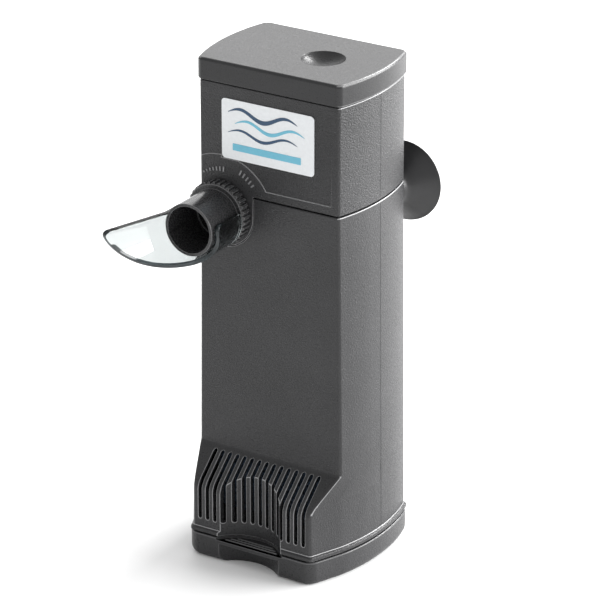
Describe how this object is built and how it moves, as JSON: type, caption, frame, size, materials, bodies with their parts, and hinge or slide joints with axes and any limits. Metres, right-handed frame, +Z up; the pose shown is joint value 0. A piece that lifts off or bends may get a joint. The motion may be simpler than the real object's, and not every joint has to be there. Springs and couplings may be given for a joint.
{
  "type": "internal power filter",
  "caption": "Upright submersible aquarium filter: motor head with a turning outlet and clear spout, slotted foam container, pull-off base cap, suction-cup holder.",
  "frame": {"origin": "underside of the base cap, on the body's centreline below the motor head", "axes": "+Z up along the body, -Y the front with the outlet and the intake slots, +X to the right seen from the front"},
  "size_m": [0.0784, 0.1133, 0.1963],
  "materials": {
    "body_plastic": "satin",
    "cap_plastic": "satin",
    "pump_plastic": "satin",
    "rubber": "satin",
    "foam": "matte",
    "clear_plastic": "gloss",
    "label": "satin",
    "steel": "satin",
    "copper": "satin",
    "ferrite": "matte",
    "ceramic": "polished",
    "bobbin_plastic": "satin"
  },
  "bodies": {
    "canister": {"container_shell": "body_plastic"},
    "base": {"base_cap": "body_plastic", "foam_cartridge": "foam"},
    "holder": {"suction_bracket": "pump_plastic", "suction_cup_left": "rubber", "suction_cup_right": "rubber"},
    "pump_head": {"head_shell": "body_plastic", "top_cap": "cap_plastic", "front_label": "label", "cable_gland": "rubber", "stator_core": "steel", "coil_bobbin_left": "bobbin_plastic", "coil_bobbin_right": "bobbin_plastic", "coil_winding_left": "copper", "coil_winding_right": "copper", "pump_housing": "pump_plastic", "pump_cover": "pump_plastic", "ceramic_shaft": "ceramic", "shaft_bush_upper": "rubber", "shaft_bush_lower": "rubber"},
    "rotor": {"rotor_magnet": "ferrite", "impeller": "bobbin_plastic"},
    "flow_regulator": {"flow_tube": "pump_plastic"},
    "spout_arm": {"spout": "clear_plastic"}
  },
  "joints": [
    {"name": "base_release", "type": "slide", "parent": "canister", "child": "base", "axis": [0, 0, -1], "range_m": [0, 0.06]},
    {"name": "holder_slide", "type": "slide", "parent": "canister", "child": "holder", "axis": [0, 0, -1], "range_m": [0, 0.03]},
    {"name": "head_lift", "type": "slide", "parent": "canister", "child": "pump_head", "axis": [0, 0, 1], "range_m": [0, 0.06]},
    {"name": "rotor_spin", "type": "hinge", "parent": "pump_head", "child": "rotor", "pos_m": [-0.004, 0.002, 0.14], "axis": [0, 0, 1], "continuous": true},
    {"name": "flow_ring_turn", "type": "hinge", "parent": "pump_head", "child": "flow_regulator", "pos_m": [-0.0205, -0.025, 0.1375], "axis": [0, 1, 0], "range_deg": [0, 90]},
    {"name": "spout_swivel", "type": "hinge", "parent": "flow_regulator", "child": "spout_arm", "pos_m": [-0.0205, -0.036, 0.1375], "axis": [0, 1, 0], "continuous": true}
  ]
}
